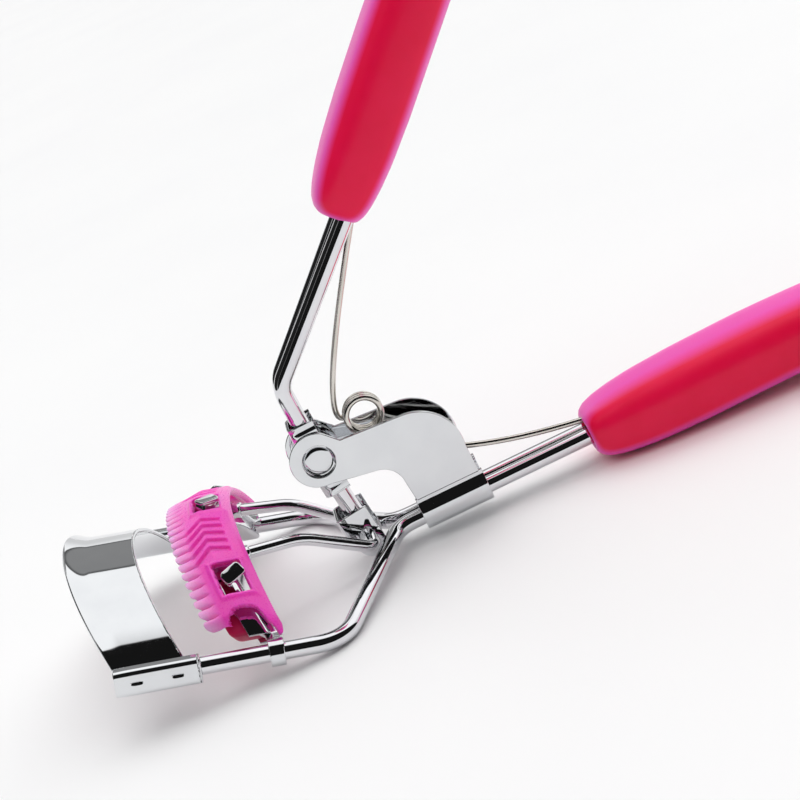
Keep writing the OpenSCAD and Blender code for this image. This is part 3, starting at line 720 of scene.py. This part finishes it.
def tab(angle):
    """Tab lanced from the channel, turned up through the comb's window and folded over."""
    head = arc_point(TAB_S, ARC_R + COMB_IN + TAB_RISE, angle, COMB_LEAN)
    tilt = rad(1.5 * angle)
    normal = np.array([0, math.sin(tilt), math.cos(tilt)])
    ahead = np.array([1.0, 0, 0])
    across = np.cross(normal, ahead)
    turn = rad(TAB_TURN)
    u = math.cos(turn) * ahead + math.sin(turn) * across
    v = np.cross(normal, u)
    outline = rounded_rectangle(TAB_LENGTH, TAB_WIDTH, 0.5)
    points = []
    levels = ((0.0, 0.12), (0.02, 0.04), (0.1, 0.0), (0.35, 0.0), (0.43, 0.04), (TAB_THICKNESS, 0.12))
    for z, inset in levels:
        for x, y in outline:
            k = 1 - inset / 1.1
            points.append(head + (x * k + 0.55) * u + y * k * v + z * normal)
    faces = ring_faces(len(levels), len(outline))
    start = len(points)
    for z in (-2.7, 0.2):
        for x, y in rounded_rectangle(0.5, 1.7, 0.15):
            points.append(head + (x - 0.5) * u + y * v + z * normal)
    faces += ring_faces(2, len(outline), start)
    return points, faces


for angle, which in zip(TAB_ANGLES, ("near", "crown", "far")):
    points, faces = tab(angle)
    finish_mesh(f"jaw_tab_{which}", points, faces, SHEET_METAL, "slider")


# ---------------------------------------------------------------- pad
def pad_piece():
    half, r = 1.3, 0.55
    profile = [(-9.5, half), (-13.9 + r + 0.3, half)]
    for t in np.linspace(90, 180, 7):
        c, s = polar(r, t)
        profile.append((-13.9 + r + c, half - r + s))
    profile = profile + [(s, -h) for s, h in profile[::-1]]
    points, n = [], len(profile)
    stations = [(43.5, 0.55), (43.35, 0.78), (43.0, 0.92), (42.4, 1.0)]
    stations += [(a, 1.0) for a in np.linspace(42, -42, 57)]
    stations += [(-a, k) for a, k in stations[:4][::-1]]
    for a, k in stations:
        for s, h in profile:
            points.append(arc_point(-11.6 + (s + 11.6) * (0.4 + 0.6 * k), ARC_R + h * k, a))
    return points, ring_faces(len(stations), n)


points, faces = pad_piece()
pad = finish_mesh("pad_strip", points, faces, PAD, "slider", ["pad"])


# ---------------------------------------------------------------- comb
def comb_grid():
    """Outer skin of the comb: petal teeth in front, a ridge, chevron grooves, three windows."""
    per_tooth, rows_n = 12, 68
    columns = TEETH * per_tooth + 1
    grid, holes = [], set()
    for j in range(columns):
        a = COMB_HALF * (2 * j / (columns - 1) - 1)
        across = 2 * ((j / per_tooth) % 1) - 1
        front = COMB_TIP + 0.15 + 0.75 * abs(across) ** 3
        row = []
        for i in range(rows_n):
            s = front + (COMB_BACK - front) * i / (rows_n - 1)
            h = float(np.interp(s, [COMB_TIP, -15.2, -13.6, RIDGE_S, -8.3, -7.5, COMB_BACK],
                                [0.35, 0.8, 1.2, 2.0, 2.0, 1.8, 1.45]))
            tooth = 1 - smooth((s - COMB_TIP - 1.4) / 1.8)
            h -= tooth * (0.22 * across ** 2 + 0.55 * abs(across) ** 9)
            h -= groove_depth(s, a)
            h += window_rim(s, a)
            out = smooth((abs(a) - COMB_HALF + 2.5) / 2.5)
            ear = smooth((abs(a) - 35) / 7) * smooth((s + 9.0) / 0.9) * smooth((-6.75 - s) / 0.7)
            row.append(arc_point(s, ARC_R + COMB_IN + h - 0.5 * out, a * (1 + 0.1 * ear), COMB_LEAN))
            if in_window(s, a) or in_arch(s, a):
                holes.add((j, i))
        grid.append(row)
    return grid, holes


def arc_length(a, centre):
    return (a - centre) * math.pi / 180 * (ARC_R + COMB_IN + 1)


def in_window(s, a):
    beside = abs(s - WINDOW_S) < WINDOW_HALF_WIDTH
    return beside and any(abs(arc_length(a, c)) < WINDOW_HALF_LENGTH for c in TAB_ANGLES)


def in_arch(s, a):
    """Arch cut into each end of the comb, behind its last tooth."""
    x = arc_length(COMB_HALF, abs(a))
    return ((s + 10.5) / 2.65) ** 2 + (x / 1.9) ** 2 < 1


def window_rim(s, a):
    rise = 0
    for c in TAB_ANGLES:
        d = max(abs(s - WINDOW_S) - WINDOW_HALF_WIDTH,
                abs(arc_length(a, c)) - WINDOW_HALF_LENGTH)
        rise = max(rise, 0.2 * math.exp(-((d - 0.35) / 0.3) ** 2))
    return rise


def groove_depth(s, a):
    """Five chevron grooves on each side of the crown, bent where they cross the ridge."""
    x = arc_length(abs(a), GROOVE_MIDDLE)
    x -= 0.7 * max(0, RIDGE_S - s) + 0.24 * max(0, s - RIDGE_S)
    inside = smooth((2.5 * GROOVE_PITCH - abs(x)) / 0.3)
    inside *= smooth((s + 14.3) / 0.7) * smooth((-8.6 - s) / 0.5)
    wave = math.cos(2 * math.pi * x / GROOVE_PITCH)
    return 0.4 * inside * smooth((wave + 0.25) / 0.6)


grid, gaps = comb_grid()
holes = {j * len(grid[0]) + i for j, i in gaps}
comb = finish_mesh("comb_shell", [p for row in grid for p in row],
                   [f for f in grid_faces(len(grid), len(grid[0])) if f[0] not in holes],
                   COMB, "slider", ["comb"])
solid = comb.modifiers.new("thickness", "SOLIDIFY")
solid.thickness = 1.0 * MM
solid.offset = -1
loose = comb.modifiers.new("soft", "SUBSURF")
loose.levels = loose.render_levels = 1


# ---------------------------------------------------------------- grips
STATIONS = [
    (0, 0.5, 0.5), (0.005, 0.6, 0.6), (0.018, 0.71, 0.7), (0.04, 0.8, 0.78), (0.08, 0.89, 0.86),
    (0.14, 0.96, 0.93), (0.24, 1, 0.98), (0.4, 1, 1), (0.57, 0.98, 0.98), (0.71, 0.92, 0.92),
    (0.83, 0.82, 0.83), (0.92, 0.69, 0.7), (0.965, 0.55, 0.55), (0.99, 0.36, 0.36), (1, 0.14, 0.14),
]


def spread(t, column):
    return float(np.interp(t, [q[0] for q in STATIONS], [q[column] for q in STATIONS]))


def grip_piece(origin, lean, sag, squareness):
    """Moulded sleeve: squarish section, rounded mouth with a socket, gentle sag to the tail."""
    up = np.array([math.sin(rad(lean)), 0, math.cos(rad(lean))])
    out = np.array([math.cos(rad(lean)), 0, -math.sin(rad(lean))])
    origin = np.asarray(origin, float)
    sides, points = 64, []
    shares = list(np.concatenate([[0.0, 0.002, 0.006, 0.012, 0.02, 0.03, 0.045, 0.065],
                                  np.linspace(0.09, 0.9, 40),
                                  [0.92, 0.94, 0.955, 0.968, 0.98, 0.99, 0.996, 1.0]]))
    inner = [(0.09, 0.36), (0.03, 0.38), (0.006, 0.4), (0.0, 0.43)]
    rings = [(t, k, k) for t, k in inner]
    rings += [(t, spread(t, 1), spread(t, 2)) for t in shares]
    power = 2 / squareness
    for t, kh, kw in rings:
        for j in range(sides):
            c, s = math.cos(2 * math.pi * j / sides), math.sin(2 * math.pi * j / sides)
            x = math.copysign(abs(c) ** power, c) * kh * GRIP_HEIGHT / 2
            x += sag * (max(0, t - 0.35) / 0.65) ** 2
            y = math.copysign(abs(s) ** power, s) * kw * GRIP_WIDTH / 2
            points.append(origin + x * out + np.array([0, y, 0]) + t * GRIP_LENGTH * up)
    return points, ring_faces(len(rings), sides)


points, faces = grip_piece((36.2, 0, -3.7), 72, 3.4, 2.9)
finish_mesh("grip_lower", points, faces, GRIP, "base", ["lower_grip"])
points, faces = grip_piece((7, 0, 31.1), 27, 1.5, 2.9)
finish_mesh("grip_upper", points, faces, GRIP, "lever", ["upper_grip"])


# ---------------------------------------------------------------- torsion spring
def spring_path():
    turns, pitch, r = 3, 0.86, 2.35
    leave, arrive = 193, -70
    half = turns * pitch / 2
    total = 360 * turns + arrive - leave + 360

    def coil(a, y):
        return COIL + [r * math.cos(rad(a)), y, r * math.sin(rad(a))]

    def arm(p, q, e, t):
        p, q, e = (np.asarray(v, float) for v in (p, q, e))
        middle = 2 * q - 0.5 * (p + e)
        return (1 - t) ** 2 * p + 2 * t * (1 - t) * middle + t * t * e

    upper = [arm((10.4, 0, 34.6), (3.9, half / 2, 11), coil(leave, half), t)
             for t in np.linspace(0, 1, 22)]
    middle = [coil(leave + total * t, half * (1 - 2 * t)) for t in np.linspace(0, 1, 130)[1:-1]]
    lower = [arm((40.2, 0, -1), (19.6, -half / 2, -2.15), coil(arrive, -half), t)
             for t in np.linspace(1, 0, 22)]
    return upper + middle + lower


points, count = tube_rings(spring_path(), 0.4, 14, 0.08)
spring = finish_mesh("spring_coil", points, ring_faces(count, 14), WIRE, None,
                     ["torsion_spring"])
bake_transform(spring)


# ---------------------------------------------------------------- floor, light and camera
def stage_material():
    s = Shader("floor_paper")
    tone = s.ramp(s.noise(14, 3), 0.3, 0.7, 0, 1)
    s.link(s.mix(tone, (0.93, 0.93, 0.935), (0.95, 0.95, 0.95)), s.body.inputs["Base Color"])
    s.link(s.bump(s.noise(900, 3), 0.05, 0.02), s.body.inputs["Normal"])
    s.set(Roughness=0.6, Specular_IOR_Level=0.2)
    return s.material


bpy.ops.mesh.primitive_plane_add(size=6, location=(0, 0, 0))
floor = bpy.context.object
floor.name = "floor"
floor.data.materials.append(stage_material())


def heading(azimuth, elevation):
    """Direction in the row frame: azimuth from the camera side (-Y) towards +X."""
    c = math.cos(rad(elevation))
    return Vector((c * math.sin(rad(azimuth)), -c * math.cos(rad(azimuth)), math.sin(rad(elevation))))


sun_data = bpy.data.lights.new("soft_sun", "SUN")
sun_data.energy = 1.55
sun_data.angle = rad(105)
sun = bpy.data.objects.new("soft_sun", sun_data)
sun.rotation_euler = (-Vector((-0.2, 0.25, 1.0))).to_track_quat("-Z", "Y").to_euler()
sun.visible_glossy = False
bpy.context.scene.collection.objects.link(sun)
fill = sun.copy()
fill.name = "front_fill"
fill.data = sun_data.copy()
fill.data.energy = 0.6
fill.rotation_euler = (-heading(10, 35)).to_track_quat("-Z", "Y").to_euler()
bpy.context.scene.collection.objects.link(fill)


def studio_world():
    """White tent over the far half of the table, a dark room behind the camera."""
    world = bpy.data.worlds.new("studio")
    bpy.context.scene.world = world
    world.use_nodes = True
    tree = world.node_tree
    tree.nodes.clear()
    out = tree.nodes.new("ShaderNodeOutputWorld")
    sky = tree.nodes.new("ShaderNodeBackground")
    coord = tree.nodes.new("ShaderNodeTexCoord")
    cards = [
        # direction it lies in, cosines where it begins and is full, brightness
        (heading(150, 50), 0.62, 0.8, 1.5),
        (heading(13, -14), -0.006, 0.01, 0.012),
        (heading(-112, 25), 0.74, 0.84, 0.02),
        (heading(174, 30), 0.953, 0.957, 0.12),
        (heading(174, 30), 0.957, 0.968, 0.36),
    ]
    base = tree.nodes.new("ShaderNodeValue")
    base.outputs[0].default_value = 0.95
    level = base.outputs[0]
    for direction, low, high, bright in cards:
        dot = tree.nodes.new("ShaderNodeVectorMath")
        dot.operation = "DOT_PRODUCT"
        dot.inputs[1].default_value = direction
        tree.links.new(coord.outputs["Generated"], dot.inputs[0])
        edge = tree.nodes.new("ShaderNodeMapRange")
        edge.interpolation_type = "SMOOTHSTEP"
        edge.inputs["From Min"].default_value = low
        edge.inputs["From Max"].default_value = high
        tree.links.new(dot.outputs["Value"], edge.inputs["Value"])
        mix = tree.nodes.new("ShaderNodeMix")
        tree.links.new(edge.outputs["Result"], mix.inputs["Factor"])
        tree.links.new(level, mix.inputs["A"])
        mix.inputs["B"].default_value = bright
        level = mix.outputs["Result"]
    tree.links.new(level, sky.inputs["Strength"])
    tree.links.new(sky.outputs["Background"], out.inputs["Surface"])


studio_world()
bpy.context.scene.view_settings.view_transform = "Standard"

camera_data = bpy.data.cameras.new("camera")
camera_data.lens = 87.14
camera_data.sensor_width = 36
camera = bpy.data.objects.new("camera", camera_data)
camera.location = (-0.0205, -0.2404, 0.0988)
camera.rotation_euler = (rad(70.10), rad(22.26), rad(-8.53))
bpy.context.scene.collection.objects.link(camera)
bpy.context.scene.camera = camera
